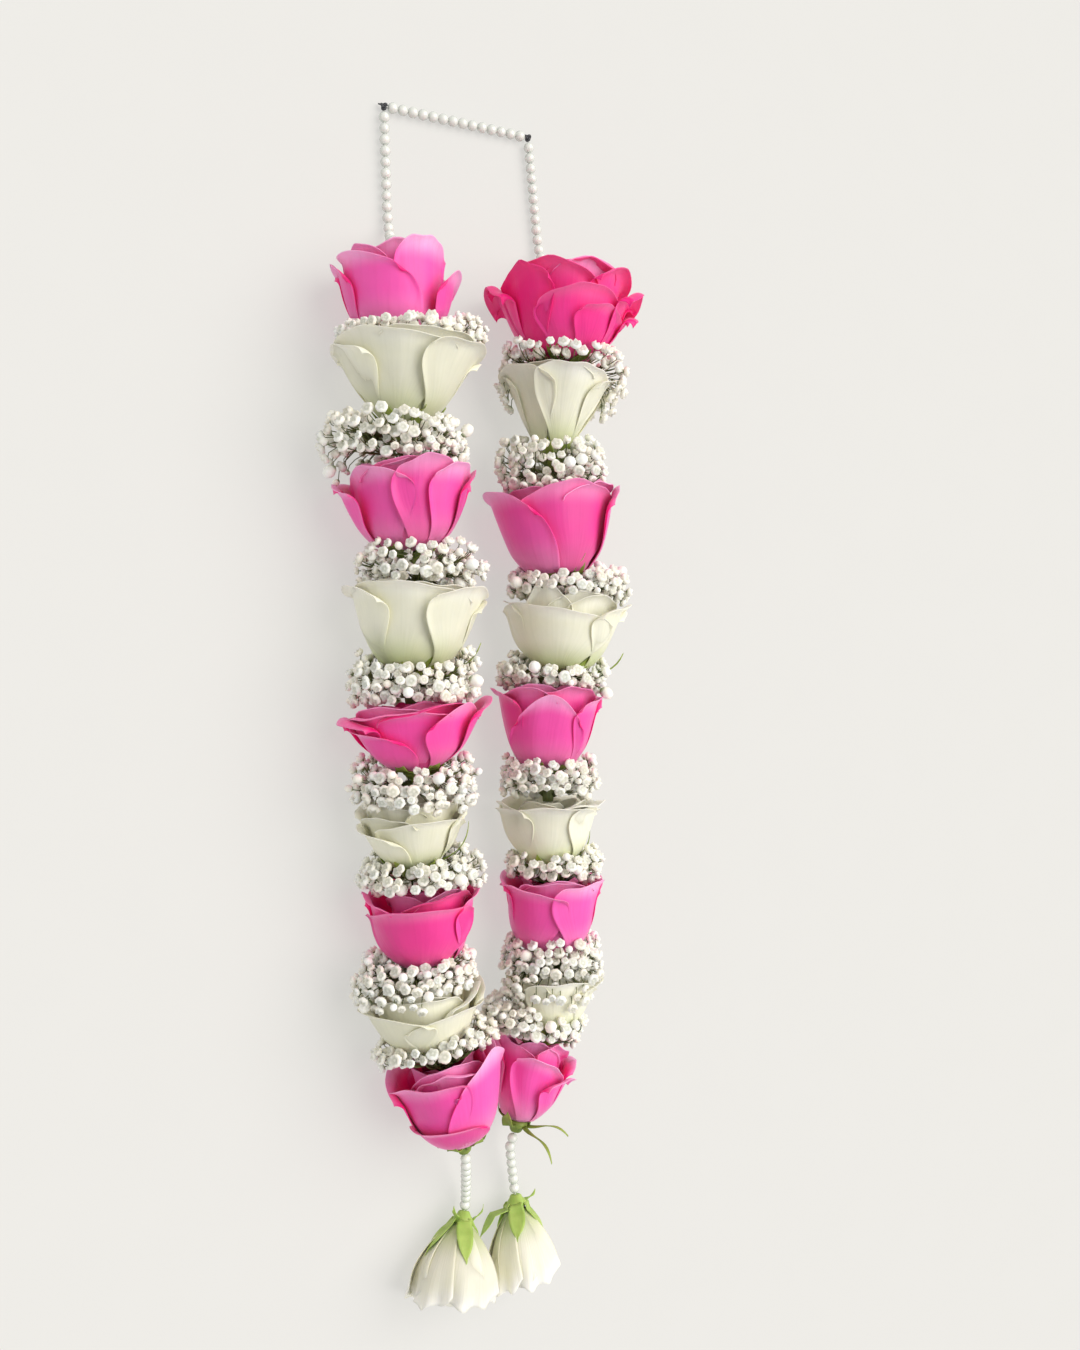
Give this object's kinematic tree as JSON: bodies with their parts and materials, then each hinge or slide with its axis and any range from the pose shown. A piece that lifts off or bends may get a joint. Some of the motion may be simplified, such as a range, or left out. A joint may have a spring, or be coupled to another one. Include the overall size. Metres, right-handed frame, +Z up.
{
  "type": "rose garland",
  "caption": "Garland of two strands of pink and white roses with baby's breath collars, a pearl bead handle at the top and white bell flowers hanging from bead strings.",
  "frame": {"origin": "on the surface the garland lies on, under the middle of its bounding box", "axes": "+Y along the strands towards the bead handle, +X towards the right strand, +Z up from the surface"},
  "size_m": [0.1666, 0.6042, 0.0739],
  "materials": {
    "pink_petal": "soft pink rose petal",
    "white_petal": "soft ivory petal",
    "green_calyx": "matte green calyx and sepals",
    "lime_calyx": "matte lime-green calyx and sepals",
    "gypsophila": "small white double florets on fine stems",
    "pearl_bead": "pearl gloss, with its pale thread",
    "dark_knot": "dark thread knot"
  },
  "bodies": {
    "root": {"left_rose_1_petals": "pink_petal", "left_rose_1_calyx": "green_calyx", "left_rose_2_petals": "white_petal", "left_rose_2_calyx": "green_calyx", "left_rose_3_petals": "pink_petal", "left_rose_3_calyx": "green_calyx", "left_rose_4_petals": "white_petal", "left_rose_4_calyx": "green_calyx", "left_rose_5_petals": "pink_petal", "left_rose_5_calyx": "green_calyx", "left_rose_6_petals": "white_petal", "left_rose_6_calyx": "green_calyx", "left_rose_7_petals": "pink_petal", "left_rose_7_calyx": "green_calyx", "left_rose_8_petals": "white_petal", "left_rose_8_calyx": "green_calyx", "left_rose_9_petals": "pink_petal", "left_rose_9_calyx": "green_calyx", "left_gypsophila_1": "gypsophila", "left_gypsophila_2": "gypsophila", "left_gypsophila_3": "gypsophila", "left_gypsophila_4": "gypsophila", "left_gypsophila_5": "gypsophila", "left_gypsophila_6": "gypsophila", "left_gypsophila_7": "gypsophila", "left_pendant_petals": "white_petal", "left_pendant_calyx": "lime_calyx", "left_bead_string": "pearl_bead", "left_corner_knot": "dark_knot", "right_rose_1_petals": "pink_petal", "right_rose_1_calyx": "green_calyx", "right_rose_2_petals": "white_petal", "right_rose_2_calyx": "green_calyx", "right_rose_3_petals": "pink_petal", "right_rose_3_calyx": "green_calyx", "right_rose_4_petals": "white_petal", "right_rose_4_calyx": "green_calyx", "right_rose_5_petals": "pink_petal", "right_rose_5_calyx": "green_calyx", "right_rose_6_petals": "white_petal", "right_rose_6_calyx": "green_calyx", "right_rose_7_petals": "pink_petal", "right_rose_7_calyx": "green_calyx", "right_rose_8_petals": "white_petal", "right_rose_8_calyx": "green_calyx", "right_rose_9_petals": "pink_petal", "right_rose_9_calyx": "green_calyx", "right_gypsophila_1": "gypsophila", "right_gypsophila_2": "gypsophila", "right_gypsophila_3": "gypsophila", "right_gypsophila_4": "gypsophila", "right_gypsophila_5": "gypsophila", "right_gypsophila_6": "gypsophila", "right_gypsophila_7": "gypsophila", "right_pendant_petals": "white_petal", "right_pendant_calyx": "lime_calyx", "right_bead_string": "pearl_bead", "right_corner_knot": "dark_knot", "bottom_gypsophila": "gypsophila", "top_bead_string": "pearl_bead"}
  },
  "joints": []
}
